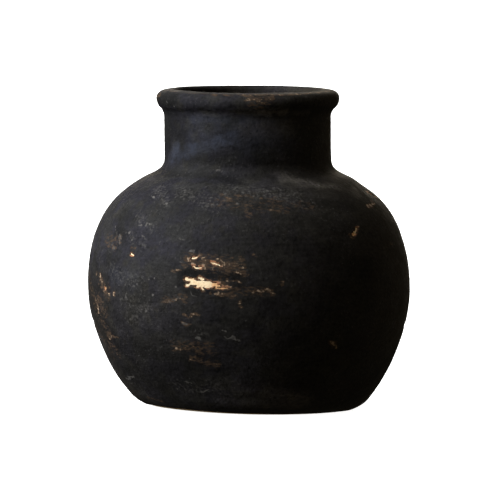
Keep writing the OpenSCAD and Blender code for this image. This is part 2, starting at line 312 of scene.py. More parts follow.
# Dusty grey marks, with the long strokes high on the right shoulder partly a painted highlight:
# stroke and strength.
DUSTY_AND_HIGHLIGHT = [
    # specks
    (-68.4, 13.7, -60, 14.7, 0.7, 0.75), (-67.6, 11.2, -66, 11, 0.6, 0.5),
    (-63.1, 86.2, -59.4, 82.8, 0.4, 0.6), (-62.4, 144.4, -61.6, 144.2, 0.6, 0.75),
    (-62, 77.8, -59, 76.6, 0.8, 0.5), (-57.2, 82.2, -55.6, 79.4, 1.1, 0.75),
    (-53.5, 142.9, -52.9, 142.7, 0.5, 1), (-51.9, 84.3, -51.3, 84.2, 0.6, 0.9),
    (-49.6, 53.8, -49, 53.8, 0.6, 0.6), (-48.6, 81, -48, 80.8, 0.55, 0.8),
    (-48.4, 44.5, -47.8, 44.4, 0.5, 0.7), (-47.9, 104.8, -47.4, 104.3, 0.5, 0.8),
    (-47.3, 101, -46.6, 100.4, 0.6, 1), (-46.5, 88.2, -45.9, 88, 0.5, 0.8),
    (-46, 77.4, -43, 78.6, 0.9, 0.5), (-44.8, 84, -42.1, 81.3, 0.6, 0.75),
    (-42.9, 88.4, -42.4, 88.2, 0.6, 0.8), (-39.8, 49.1, -39.2, 49, 0.6, 0.8),
    (-38.9, 98.4, -38.4, 98.2, 0.55, 0.85), (-38.4, 63.4, -38, 63.4, 0.5, 0.7),
    (-36.2, 56.7, -35.7, 56.5, 0.6, 0.8), (-35.5, 64.1, -34.8, 64.1, 0.55, 0.7),
    (-34.6, 11.3, -34, 11.3, 0.6, 0.6), (-30, 54, -24, 55.4, 0.8, 0.5),
    (-28, 15.7, -25.6, 14.6, 0.45, 0.65), (-27.9, 83, -24.2, 82.4, 0.35, 0.65),
    (-26.8, 60.5, -25.8, 60.6, 0.45, 0.7), (-26.6, 73.9, -24.4, 71.8, 0.35, 0.6),
    (-25.6, 113.1, -23, 113.1, 0.5, 0.42), (-24.8, 74.2, -23.6, 72.8, 0.35, 0.6),
    (-24.6, 44.2, -22.6, 43.3, 0.6, 0.8), (-22.8, 105.9, -22.2, 105.9, 0.5, 0.7),
    (-21.8, 39.6, -18, 41, 0.5, 0.4), (-21.5, 10.5, -18.3, 11.3, 0.6, 0.8),
    (-21.3, 77.2, -21, 77, 0.5, 0.85), (-20.4, 113.4, -17.2, 113.4, 0.5, 0.55),
    (-20.3, 57.9, -18.9, 57, 0.45, 0.7), (-19.6, 37.2, -17.8, 36.2, 0.5, 0.85),
    (-15.1, 39.9, -16.5, 38, 0.5, 0.4), (-13.8, 98.3, -13.3, 98.3, 0.5, 0.7),
    (-10.4, 38.3, -7.6, 36.8, 0.35, 0.8), (-9.1, 40.7, -8.7, 40.6, 0.5, 0.9),
    (-7.6, 36.8, -6.4, 38.2, 0.35, 0.85), (-6.4, 38.2, -3.2, 35.7, 0.35, 1),
    (-5.2, 98.9, -4.7, 98.9, 0.5, 0.9), (9, 104.8, 9.7, 104.6, 0.65, 1),
    (9.3, 9.1, 9.7, 8.9, 0.5, 0.9), (13.8, 10.1, 23.5, 9.7, 0.5, 0.6),
    (40.7, 107, 41.4, 106.8, 0.5, 1),
    # gritty patches
    (-58, 66, -46, 62, 6, 0.42), (-53, 85, -43, 79, 4.6, 0.38), (-50, 92, -40, 87, 4.4, 0.4),
    (-50, 104, -38, 98, 4.5, 0.45), (-50, 54, -38, 49, 6, 0.36), (-48, 44, -40, 46, 5, 0.38),
    (-36, 104, -14, 99, 6.5, 0.42), (-32, 13, -4, 12, 6.5, 0.38),
    (-22, 38.5, -15, 38.5, 1.8, 0.4), (-12, 105, 22, 103, 7, 0.42),
    (-3, 87.3, 7.6, 87.5, 0.6, 0.42), (11.2, 101.3, 17.7, 101.2, 0.9, 0.5),
    # the long strokes from 26 degrees on lie on the right shoulder: partly dust, partly a painted
    # highlight band
    (14, 102, 28, 99, 5, 0.4), (26, 112.1, 33.8, 109.7, 2.2, 0.42),
    (33.8, 109.7, 41.1, 106.9, 2.8, 0.5), (41.1, 106.9, 52, 105.9, 2.4, 0.42),
    (50.5, 82.6, 51.5, 85.6, 0.5, 0.4),
]

# Blue-grey, wide and soft: a bloom on the neck at the left, and painted light that pales the
# throat under the lip and the neck towards the right: stroke and strength.
BLOOM_AND_LIGHT = [
    # on the neck
    (-65.5, 117.5, -57, 122.5, 2, 0.68), (-56, 118.5, -46, 121.5, 2, 0.5),
    (-46, 121.5, -31, 124.5, 2.6, 0.78), (-40, 130, -15, 132, 5, 0.22),
    (-40, 137, 25, 138, 2.5, 0.4), (-31, 124.5, -11, 128.8, 2.4, 0.85),
    (-6, 130, 26, 128, 8, 0.26),
    # on the belly
    (-57, 64, -46, 62, 4, 0.22),
]

# Places painted darker: where the coat is thick and blackest, and painted shade at the left of the
# neck, lip and belly, over the right shoulder and low down: stroke and strength. Each 0.5 halves
# the colour.
DARK_COAT_AND_SHADE = [
    # on the neck and lip
    (-92, 117.5, -68, 135, 9, 0.8), (-90, 143, -54, 146, 3, 0.85), (-88, 111, -66, 111, 3, 0.55),
    (-75, 110.5, -24, 111.5, 2.5, 0.4), (-62, 115.5, -46, 124, 5, 0.4),
    (-60, 136, -44, 120, 6, 0.48), (-54, 144, -30, 146, 3, 0.25), (-50, 135, -46, 133, 3.5, 0.34),
    (-30, 117.5, 10, 118.5, 3.2, 0.35), (-24, 111.5, 14, 110.5, 2, 0.22),
    (-18.5, 110.6, -7.6, 108.8, 2.2, 0.75), (-9, 121, 8, 125, 3, 0.26),
    # on the shoulder
    (-62, 90.6, -51, 91.2, 3, 0.35), (-60, 84.3, -54, 83.4, 1.8, 0.55),
    (-48, 98, 18, 97, 9, 0.15), (-36, 102, -26, 101.5, 3, 0.34),
    (-12, 106.5, -8, 107.5, 1.6, 0.3), (-12, 84, 14, 86, 8, 0.12), (26, 99.4, 50, 98, 2.6, 0.46),
    (30, 92, 46, 86, 4, 0.22), (34, 76, 46, 68, 5, 0.3), (50, 104, 60, 101, 4, 0.28),
    (58, 104, 86, 98, 6, 0.3), (66, 105, 84, 110, 3.2, 0.42),
    # on the belly
    (-82, 68, -60, 60, 4, 0.22), (-80, 56, -62, 34, 5, 0.48), (-74, 60, -69, 54, 4, 0.38),
    (-62, 71, -55, 65, 4, 0.4), (-47, 57, -38, 56, 4, 0.2), (-24.8, 66.5, -24.4, 61.5, 1.2, 0.4),
    (-23.5, 67.4, -3, 67, 1.3, 0.85), (-22, 58.8, -14, 58.6, 0.9, 0.5), (-4, 64, 8, 63, 2.5, 0.2),
    # below it
    (-79, 46, -76, 40, 4, 0.34), (-66, 46, -52, 40, 6, 0.2), (-64, 32, -42, 10, 8, 0.52),
    (-62, 24, -22, 22, 13, 0.42), (-62, 30, -40, 29, 4.5, 0.62), (-26, 40.5, -20, 39, 3, 0.28),
    (-8, 46, 2, 45, 3, 0.24), (58, 8, 84, 24, 10, 0.45),
]

# Places painted paler, as painted light: under the lip's overhang and on the neck, in a band over
# the right shoulder, and on the belly and near the foot: stroke and strength. Each 0.5 doubles the
# colour.
PAINTED_LIGHT = [
    # on the neck and lip
    (-36, 140, -24, 140.2, 1.4, 0.7), (-24, 140.2, 10, 140.4, 1.4, 0.8),
    (0, 134, 28, 134, 5, 0.56), (8, 140.4, 26, 140.6, 1.6, 1.25),
    (26, 140.4, 44, 140.6, 1.2, 0.6),
    # on the shoulder
    (22, 110.4, 40, 107.2, 3.2, 0.76), (30, 107.2, 50, 106.6, 2.6, 0.62),
    (44, 107, 58, 106, 2.4, 0.18), (66, 104, 60, 101.8, 1.6, 0.45),
    (76, 110.5, 86, 111.5, 1.4, 0.55),
    # on the belly and near the foot
    (-20, 17.5, -6, 17, 3, 0.4), (-18, 12.5, 10, 12, 3, 0.3), (-14, 6.5, 24, 5.5, 2.6, 0.5),
    (-12, 67.8, -8, 67.6, 1, 0.2), (6, 11, 26, 8, 4, 0.6),
]


def worn_place(rng, angle, z, size):
    """A ragged chip that runs out thinly to the right, with flecks and rubbed streaks round it."""
    chips, rubbed, ochre = [], [], []
    a, height = angle, z
    for half in (0.55, 1.0, 1.35, 0.8, 0.4):
        run, drop = rng.uniform(1.4, 2.6) * size, rng.normal(-0.3, 0.35)
        chips.append((a, height, a + run, height + drop, half * size))
        a, height = a + run * 0.8, height + drop
    ochre.append((a, height, 5.5 * size))
    for _ in range(5):
        a, height = angle + rng.uniform(-4, 12), z + rng.choice([-1, 1]) * rng.uniform(2, 11)
        run, slope = rng.uniform(0.2, 1.6), rng.normal(0, 0.5)
        chips.append((a, height, a + run, height + slope, rng.uniform(0.28, 0.42)))
        rubbed.append((a - 0.8, height, a + run + 1.5, height + slope, 0.8, 0.85))
    for _ in range(14):
        a, height = angle + rng.uniform(-6, 14), z + rng.normal(0, 6)
        run, slope = rng.uniform(0.3, 4.0), rng.normal(-0.2, 0.5)
        rubbed.append((a, height, a + run, height + slope, rng.uniform(0.4, 0.8),
                       rng.uniform(0.6, 1.0)))
    rubbed.append((angle - 2, z + 8, angle + 9, z + 7, 3.8 * size, 0.52))
    rubbed.append((angle + 5, z - 1, angle + 15, z - 3, 2.2 * size, 0.42))
    rubbed.append((angle - 7, z - 8, angle + 3, z - 8, 2.4 * size, 0.34))
    return chips, rubbed, ochre


def scattered_marks():
    """The same kinds of marks round the sides and the back."""
    rng = np.random.default_rng(11)
    chips, rubbed, dust_and_highlight, ochre = [], [], [], []
    for place in ((112, 64, 0.75), (166, 50, 1.15), (-132, 70, 0.95), (208, 90, 0.6)):
        more_chips, more_rubbed, more_ochre = worn_place(rng, *place)
        chips += more_chips
        rubbed += more_rubbed
        ochre += more_ochre
    for _ in range(70):
        a, z = rng.uniform(90, 270), rng.uniform(10, 108)
        run = rng.uniform(0.3, 5)
        rubbed.append((a, z, a + run, z + rng.normal(0, 0.7), rng.uniform(0.35, 0.8),
                       rng.uniform(0.35, 0.9)))
        a, z = rng.uniform(90, 270), rng.uniform(8, 140)
        run = rng.uniform(0.2, 3)
        dust_and_highlight.append((a, z, a + run, z + rng.normal(0, 1.0), rng.uniform(0.3, 0.6),
                      rng.uniform(0.3, 0.9)))
    for _ in range(14):
        a, z = rng.uniform(90, 270), rng.uniform(10, 105)
        dust_and_highlight.append((a, z, a + rng.uniform(4, 14), z + rng.normal(0, 2), rng.uniform(3, 6),
                      rng.uniform(0.30, 0.42)))
    for _ in range(9):
        a = rng.uniform(80, 280)
        rubbed.append((a, rng.uniform(144, 147.5), a + rng.uniform(2, 12), 146.5, 0.9, 0.62))
    return chips, rubbed, dust_and_highlight, ochre


MORE_CHIPS, MORE_RUBBED, MORE_DUSTY, MORE_OCHRE = scattered_marks()


def to_stroke(angle, s, r, stroke, reach):
    """The part of a grid of points that is within reach of a stroke, and its distances in mm over
    the surface from the stroke's middle line."""
    a0, z0, a1, z1 = stroke[:4]
    s0, s1 = length_at(z0), length_at(z1)
    turn = turn_difference(a1, a0)
    rows = np.nonzero((s[:, 0] > min(s0, s1) - reach) & (s[:, 0] < max(s0, s1) + reach))[0]
    if len(rows) == 0:
        return None, None
    wide = abs(turn) / 2 + math.degrees(reach / r[rows].min())
    columns = np.nonzero(np.abs(turn_difference(angle[0], a0 + turn / 2)) < wide)[0]
    if len(columns) == 0:
        return None, None
    part = np.ix_(rows, columns)
    per_degree = r[part] * math.pi / 180
    u, v = turn_difference(angle[part], a0) * per_degree, s[part] - s0
    du, dv = turn * per_degree, s1 - s0
    t = np.clip((u * du + v * dv) / np.maximum(du * du + dv * dv, 1e-9), 0, 1)
    return part, np.hypot(u - t * du, v - t * dv)


def painted(angle, s, r, strokes, rag, soft=1.0):
    """Strength from 0 to 1 of strokes that fade out from their middle, at each point."""
    value = np.zeros_like(r)
    for stroke in strokes:
        half, strength = stroke[4:6]
        fade = half * 1.5 + 0.7 * soft
        part, d = to_stroke(angle, s, r, stroke, fade + 1.5)
        if part is not None:
            d = d - rag[part] * min(half, 1.5)
            value[part] = np.maximum(value[part], strength * (1 - ramp(d, half * 0.3, fade)))
    return value


# ---------------------------------------- meshes

COLUMNS = 1080
ROW = 0.42  # mm between the rows of the coat's outer side
INNER_ROW = 3.0  # and of its inner side, which isn't seen
SHARP = 52  # degrees between faces from which an edge stays sharp


def build_mesh(name, verts, faces, values):
    """An object from points in mm, faces as one array of quads or a list of faces, and values
    kept with the points."""
    mesh = bpy.data.meshes.new(name)
    counts = np.array([len(f) for f in faces]) if isinstance(faces, list) else None
    flat = np.concatenate(faces) if counts is not None else faces.ravel()
    starts = (np.concatenate([[0], np.cumsum(counts)[:-1]]) if counts is not None
              else np.arange(0, faces.size, faces.shape[1]))
    mesh.vertices.add(len(verts))
    mesh.vertices.foreach_set("co", (verts / 1000).astype(np.float32).ravel())
    mesh.loops.add(len(flat))
    mesh.loops.foreach_set("vertex_index", flat.astype(np.int32))
    mesh.polygons.add(len(starts))
    mesh.polygons.foreach_set("loop_start", starts.astype(np.int32))
    mesh.update(calc_edges=True)
    mesh.shade_smooth()
    mesh.set_sharp_from_angle(angle=math.radians(SHARP))
    for key, data in values.items():
        layer = mesh.attributes.new(key, "FLOAT", "POINT")
        layer.data.foreach_set("value", data.astype(np.float32).ravel())
    obj = bpy.data.objects.new(name, mesh)
    bpy.context.collection.objects.link(obj)
    return obj


def turned(name, points, normals, columns, relief, closed=True):
    """A closed mesh of revolution from a loop of points, or from a line that starts and ends near
    the axis, where fans close it. relief(place, angle) gives each point's move along its normal,
    and a dict of values to keep with the points."""
    rows = len(points)
    angle = np.arange(columns) * 360.0 / columns + 180
    sin_a, cos_a = np.sin(np.radians(angle)), np.cos(np.radians(angle))
    r, z = points[:, 0][:, None], points[:, 1][:, None]
    place = np.stack([r * sin_a, -r * cos_a, z + 0 * sin_a], axis=-1)
    nr, nz = normals[:, 0][:, None], normals[:, 1][:, None]
    normal = np.stack([nr * sin_a, -nr * cos_a, nz + 0 * sin_a], axis=-1)
    move, values = relief(place, np.broadcast_to(angle, place.shape[:2]))
    place = bend(place + normal * move[..., None])
    index = np.arange(rows * columns).reshape(rows, columns)
    right = np.roll(index, -1, axis=1)
    if closed:
        up, up_right = np.roll(index, -1, axis=0), np.roll(right, -1, axis=0)
        faces = np.stack([index, right, up_right, up], axis=-1).reshape(-1, 4)
        return build_mesh(name, place.reshape(-1, 3), faces, values)
    quads = np.stack([index[:-1], right[:-1], right[1:], index[1:]], axis=-1).reshape(-1, 4)
    first, last = rows * columns, rows * columns + 1
    caps = [np.array([first, right[0][k], index[0][k]]) for k in range(columns)]
    caps += [np.array([last, index[-1][k], right[-1][k]]) for k in range(columns)]
    poles = np.stack([place[0].mean(axis=0), place[-1].mean(axis=0)])
    verts = np.concatenate([place.reshape(-1, 3), poles])
    values = {k: np.concatenate([v.ravel(), [v[0].mean(), v[-1].mean()]])
              for k, v in values.items()}
    return build_mesh(name, verts, list(quads) + caps, values)


def spaced(start, stop, step):
    """Numbers from start to stop, no more than a step apart."""
    return np.linspace(start, stop, max(2, int(math.ceil(abs(stop - start) / step)) + 1))


def straight(a, b, step):
    """Points on a straight line between two points, without its ends, and its normal, which is
    to the right."""
    d = np.array(b) - np.array(a)
    size = np.hypot(*d)
    n = max(1, int(size / step))
    t = np.arange(1, n)[:, None] / n
    normal = np.array([d[1], -d[0]]) / max(size, 1e-9)
    return np.array(a) + t * d, np.broadcast_to(normal, (max(n - 1, 0), 2))


# ---------------------------------------- the black coat

COAT_GRIP = 0.3  # how far the coat's inner side is set into the clay, so that no face is shared
CHIP_DEPTH = COAT + 0.16  # a chip's floor lies this far down, under the clay's surface
NO_CHIP = -9.0  # what the coat's chip value is where no chip is near


def coat_relief(s_rows, outer_rows):
    """Relief and marks of the coat's outer side. Rows of its inner side stay plain."""

    def relief(place, angle):
        r = np.hypot(place[..., 0], place[..., 1])
        z = place[..., 2]
        s = np.broadcast_to(s_rows[:, None], r.shape)
        outer = np.broadcast_to(outer_rows[:, None], r.shape).astype(float)
        streak = noise(place, (2.6, 2.6, 0.75), 21)
        fine = noise(place, (1.1, 1.1, 0.5), 22)
        # undulations left by the hands, ridges from wiping, and grit
        move = 0.10 * noise(place, 15, 23) + 0.05 * noise(place, (11, 11, 2.2), 24)
        move += 0.030 * streak + 0.022 * noise(place, 1.5, 25) + 0.016 * noise(place, 0.8, 26)
        grain = noise(place, 1.7, 27)
        move += 0.09 * ramp(grain, 0.42, 0.75) - 0.11 * ramp(-grain, 0.45, 0.75)
        # the joint between lower wall and belly still shows as a crease at the left and the back
        wander = 0.8 * noise(place * [1, 1, 0], 26, 28)
        crease = ramp(np.abs(turn_difference(angle, 0)), 62, 88)
        move -= 0.22 * crease * np.exp(-((z - WALL_JOINT - wander) / 1.2) ** 2)
        # chips go down past the clay's surface, which then shows
        chip = np.full(r.shape, NO_CHIP)
        rag = 0.75 * streak + 0.45 * fine
        for stroke in CHIPS + MORE_CHIPS:
            half = stroke[4]
            part, d = to_stroke(angle, s, r, stroke, half + 4)
            if part is not None:
                chip[part] = np.maximum(chip[part], half - d + rag[part] * min(0.9, half))
        # a chip has a slight groove and a broken, lifted edge round it
        hole = ramp(chip, -0.20, 0.22)
        move -= (CHIP_DEPTH + move) * hole
        move -= 0.05 * np.exp(-((chip + 0.5) / 0.5) ** 2) * (1 - hole)
        lift = 0.07 * np.exp(-((chip + 0.55) / 0.25) ** 2) * (1 - hole)
        move += lift * ramp(noise(place, 2.0, 29), 0.0, 0.5)
        # the other marks wander off their strokes
        angle_w = angle + np.degrees(1.8 * noise(place, 3.4, 31) / r)
        s_w = s + 1.2 * noise(place, (3.4, 3.4, 2.0), 32)
        rubbed = painted(angle_w, s_w, r, RUBBED + MORE_RUBBED, 0.7 * rag)
        rubbed = np.maximum(rubbed, 0.9 * ramp(chip, -1.2, -0.1))
        dust_and_highlight = painted(angle_w, s_w, r, DUSTY_AND_HIGHLIGHT + MORE_DUSTY, 0.7 * rag, 0.5)
        # bloom: blue-grey haze, and painted light under the lip and on the neck
        bloom_and_light = painted(angle_w, s_w, r, BLOOM_AND_LIGHT, 0.6 * rag, 2.0)
        # tone: paler with painted light, darker with painted shade and where the coat is thick
        tone = (painted(angle_w, s_w, r, PAINTED_LIGHT, 0.6 * rag, 2.0)
                - painted(angle_w, s_w, r, DARK_COAT_AND_SHADE, 0.6 * rag, 2.0))
        # painted light: a warm cast of light is painted on the black at the right, the back, the
        # far left low down, and over the foot
        side = turn_difference(angle, 0)
        warm_light = ramp(side, -45, 60) + 0.3 * ramp(side, 45, 75)
        warm_light = warm_light * (1 - 0.7 * ramp(side, 120, 170))
        warm_light = np.maximum(warm_light, 0.9 * ramp(-side, 115, 150))
        warm_light = np.maximum(warm_light, 0.8 * ramp(-side, 56, 72) * (1 - ramp(z, 52, 75)))
        warm_light = np.maximum(warm_light, 0.38 * (1 - ramp(z, 50, 78)))
        # round a chip the rubbed clay is redder
        fringe = ramp(chip, -1.5, -0.3)
        keep = {"rubbed": rubbed, "dust_and_highlight": dust_and_highlight, "bloom_and_light": bloom_and_light, "tone": tone, "warm_light": warm_light,
                "fringe": fringe}
        return move * outer, {k: v * outer for k, v in keep.items()}

    return relief


def coat_band(name, s0, s1):
    """A closed band of the coat between two lengths along the outline."""
    out_s = spaced(s0, s1, ROW)
    in_s = spaced(s1, s0, INNER_ROW)
    outer, outer_n = along(out_s)
    inner, inner_n = along(in_s, COAT + COAT_GRIP)
    s_rows = np.concatenate([out_s, in_s])
    outer_rows = np.concatenate([np.ones(len(out_s)), np.zeros(len(in_s))])
    band = turned(name, np.concatenate([outer, inner]), np.concatenate([outer_n, -inner_n]),
                  COLUMNS, coat_relief(s_rows, outer_rows))
    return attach(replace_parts(band, "black_coat"), "root")


# ---------------------------------------- the clay

CLAY_COLUMNS = 540
CLAY_ROW = 0.8  # mm between the rows of a course
JOINT_ROW, COIL_ROW = 1.5, 0.5  # and of its joints, and of the coil at the neck's root
FINGER_PITCH = 7.5  # mm between the ridges left by the fingers, which wind upwards
BEVEL_DROP = WALL / 2 * math.tan(math.radians(BEVEL))
AXIS_GAP = 1.0  # the slab's flat faces come this near to the axis, where a fan closes them
CORNER_Z, CORNER_R = 15.0, 44.0  # how far the coil in the corner reaches up the wall and inwards
CORNER_SET = 0.6  # how far that coil is set into the wall and the floor
ROOT_SET, ROOT_TOP_SET = 2.5, 1.2  # how far that coil goes in under the neck, below and above


def clay_relief(inside_rows, free_rows):
    """Relief of bare clay: fine grain outside, ridges left by the fingers inside."""

    def relief(place, angle):
        shape = place.shape[:2]
        inside = np.broadcast_to(inside_rows[:, None], shape).astype(float)
        free = np.broadcast_to(free_rows[:, None], shape).astype(float)
        z = place[..., 2]
        grain = 0.035 * noise(place, 1.8, 41) + 0.03 * noise(place, 0.9, 42)
        wander = 2.5 * noise(place, 30, 43)
        ridges = np.sin((z + wander + angle / 360 * FINGER_PITCH) * 2 * math.pi / FINGER_PITCH)
        fingers = 0.28 * ridges + 0.25 * noise(place, 12, 44) + 0.06 * noise(place, 2.5, 45)
        move = np.where(inside > 0.5, fingers, grain) * free
        ochre = np.zeros(shape)
        for a, height, reach in OCHRE + MORE_OCHRE:
            (r, spot_z), _ = along(length_at(height))
            spot = [r * math.sin(math.radians(a)), -r * math.cos(math.radians(a)), spot_z]
            d = np.linalg.norm(place - spot, axis=-1)
            ochre = np.maximum(ochre, 1 - ramp(d, reach * 0.35, reach))
        return move, {"inside": inside, "ochre": ochre}

    return relief


def clay_piece(name, node, points, normals, inside, free, closed=True):
    """A turned piece of clay in place of a node. inside and free tell for each row whether it
    lies inside the pot and whether it takes relief."""
    piece = turned(name, points, normals, CLAY_COLUMNS, clay_relief(inside, free), closed)
    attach(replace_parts(piece, node), "root")


def loop_of(parts):
    """Joins stretches of outline into a loop: each is (points, normals, inside, free)."""
    points = np.concatenate([p[0] for p in parts])
    normals = np.concatenate([p[1] for p in parts])
    inside = np.concatenate([np.full(len(p[0]), p[2]) for p in parts])
    free = np.concatenate([np.full(len(p[0]), p[3]) for p in parts])
    return points, normals, inside, free


def plain(points, direction, inside, free):
    """A stretch of outline whose points all have the same normal."""
    return points, np.tile(direction, (len(points), 1)), inside, free


UP, DOWN, OUTWARDS, INWARDS = [0.0, 1.0], [0.0, -1.0], [1.0, 0.0], [-1.0, 0.0]


def clay_ring(name, node, z0, z1, bevel0=BEVEL_DROP, bevel1=BEVEL_DROP):
    """A course of the wall between two heights, with bevelled edges."""
    outer, outer_n = along(spaced(length_at(z0 - bevel0, COAT), length_at(z1 - bevel1, COAT),
                                  CLAY_ROW), COAT)
    inner, inner_n = along(spaced(length_at(z1 + bevel1, WALL), length_at(z0 + bevel0, WALL),
                                  CLAY_ROW), WALL)
    top, top_n = straight(outer[-1], inner[0], JOINT_ROW)
    low, low_n = straight(inner[-1], outer[0], JOINT_ROW)
    clay_piece(name, node, *loop_of([(outer, outer_n, 0, 1), (top, top_n, 0, 0),
                                     (inner, -inner_n, 1, 1), (low, low_n, 0, 0)]))


def make_base_slab():
    edge, edge_n = along(spaced(0, length_at(SLAB, COAT), CLAY_ROW), COAT)
    under_r = spaced(AXIS_GAP, edge[0][0], 1.0)[:-1]
    under = np.stack([under_r, np.zeros(len(under_r))], axis=-1)
    over_r = spaced(edge[-1][0], AXIS_GAP, 1.0)[1:]
    over = np.stack([over_r, np.full(len(over_r), SLAB)], axis=-1)
    clay_piece("clay_base_slab", "base_slab", *loop_of([
        plain(under, DOWN, 0, 0), (edge, edge_n, 0, 1), plain(over, UP, 1, 1)]), closed=False)


def make_floor_corner_coil():
    """A coil smoothed into the corner inside, on a curve that touches floor and wall."""
    wall_end, _ = along(length_at(CORNER_Z, WALL), WALL)
    floor_end = np.array([CORNER_R, SLAB])
    corner, _ = along(length_at(SLAB, WALL), WALL)
    t = np.linspace(0, 1, 16)[:, None]
    face = ((1 - t) ** 2 * wall_end + 2 * t * (1 - t) * (corner + [-0.8, 0.8])
            + t ** 2 * floor_end)
    tangent = np.gradient(face, axis=0)
    face_n = np.stack([tangent[:, 1], -tangent[:, 0]], axis=-1)
    face_n /= np.linalg.norm(face_n, axis=-1, keepdims=True)
    back_s = spaced(length_at(SLAB + 0.2, WALL), length_at(CORNER_Z - 0.4, WALL), JOINT_ROW)
    back_wall, _ = along(back_s, WALL - CORNER_SET)
    under_z = SLAB - CORNER_SET
    back_floor = np.array([[CORNER_R + 2, under_z], [CORNER_R + 6, under_z]])
    clay_piece("clay_floor_corner_coil", "floor_corner_coil", *loop_of([
        plain(back_floor, DOWN, 0, 0), plain(back_wall, OUTWARDS, 0, 0), (face, face_n, 1, 1)]))


def make_neck_root_coil(neck_foot):
    """A coil in the corner between shoulder and neck."""
    coil_s = spaced(length_at(neck_foot, COAT), length_at(ROOT_C[1], COAT), COIL_ROW)
    coil, coil_n = along(coil_s, COAT)
    back = np.array([[NECK_R - ROOT_TOP_SET, ROOT_C[1]], [NECK_R - ROOT_SET, neck_foot]])
    clay_piece("clay_neck_root_coil", "neck_root_coil", *loop_of([
        (coil, coil_n, 0, 1), plain(back, INWARDS, 0, 0)]))


def make_neck_collar(neck_foot):
    """The neck, standing on the shoulder inside the coil."""
    wall_s = spaced(length_at(ROOT_C[1], COAT), length_at(LIP_JOINT - BEVEL_DROP, COAT), CLAY_ROW)
    outer, outer_n = along(wall_s, COAT)
    inner_z = spaced(LIP_JOINT + BEVEL_DROP, neck_foot, CLAY_ROW)
    inner = np.stack([np.full(len(inner_z), MOUTH_R + COAT), inner_z], axis=-1)
    inner[-1], _ = along(length_at(neck_foot, WALL), WALL)
    foot = np.array([[NECK_R - ROOT_SET, neck_foot]])
    top, top_n = straight(outer[-1], inner[0], JOINT_ROW)
    clay_piece("clay_neck_collar", "neck_collar", *loop_of([
        plain(foot, OUTWARDS, 0.5, 0), (outer, outer_n, 0, 1), (top, top_n, 0, 0),
        plain(inner, INWARDS, 0.5, 1)]))


def make_rolled_lip():
    lip_end = S_END - (LIP_JOINT + BEVEL_DROP - ROOT_C[1])
    lip, lip_n = along(spaced(length_at(LIP_JOINT - BEVEL_DROP, COAT), lip_end, CLAY_ROW), COAT)
    low, low_n = straight(lip[-1], lip[0], JOINT_ROW)
    clay_piece("clay_rolled_lip", "rolled_lip",
               *loop_of([(lip, lip_n, 0, 1), (low, low_n, 0, 0)]))


def make_clay():
    make_base_slab()
    make_floor_corner_coil()
    clay_ring("clay_lower_wall", "lower_wall", SLAB, WALL_JOINT, bevel0=0)
    clay_ring("clay_lower_belly", "lower_belly", WALL_JOINT, BELLY_JOINT)
    clay_ring("clay_upper_belly", "upper_belly", BELLY_JOINT, SHOULDER_JOINT)
    neck_foot = ROOT_C[1] - ROOT_ARC * math.sin(math.radians(SHOULDER_SLOPE))
    clay_ring("clay_shoulder", "shoulder", SHOULDER_JOINT, neck_foot, bevel1=0)
    make_neck_root_coil(neck_foot)
    make_neck_collar(neck_foot)
    make_rolled_lip()


# ---------------------------------------- materials

# the coat
BLUE_BLACK, VIOLET_BLACK = (0.0182, 0.0176, 0.0226), (0.0208, 0.0203, 0.0206)
OLIVE_BLACK, WARM_LIGHT_BLACK = (0.0255, 0.0236, 0.0195), (0.0212, 0.0182, 0.0132)
GRIT_GREY, PIT_BLACK = (0.066, 0.063, 0.062), (0.0050, 0.0050, 0.0056)
BLOOM_AND_LIGHT_BLUE, DUST_AND_HIGHLIGHT_GREY = (0.037, 0.042, 0.060), (0.125, 0.118, 0.110)
RUBBED_BROWN, RUBBED_TAN = (0.077, 0.0495, 0.031), (0.36, 0.260, 0.178)
FRINGE_TAN = (0.44, 0.20, 0.105)
COAT_BRIGHTNESS = 0.757
# the clay
BUFF, SAND, CREAM = (0.96, 0.78, 0.51), (0.84, 0.58, 0.33), (0.98, 0.86, 0.64)
CLAY_BROWN, CLAY_DARK, CLAY_OCHRE = (0.46, 0.26, 0.13), (0.28, 0.15, 0.08), (0.76, 0.42, 0.19)
INSIDE_DARK, INSIDE_MID = (0.055, 0.044, 0.035), (0.105, 0.080, 0.058)
INSIDE_PALE = (0.155, 0.127, 0.10)
# the floor
FLOOR_GREY, FLOOR_PALE = (0.84, 0.84, 0.84), (0.86, 0.86, 0.855)


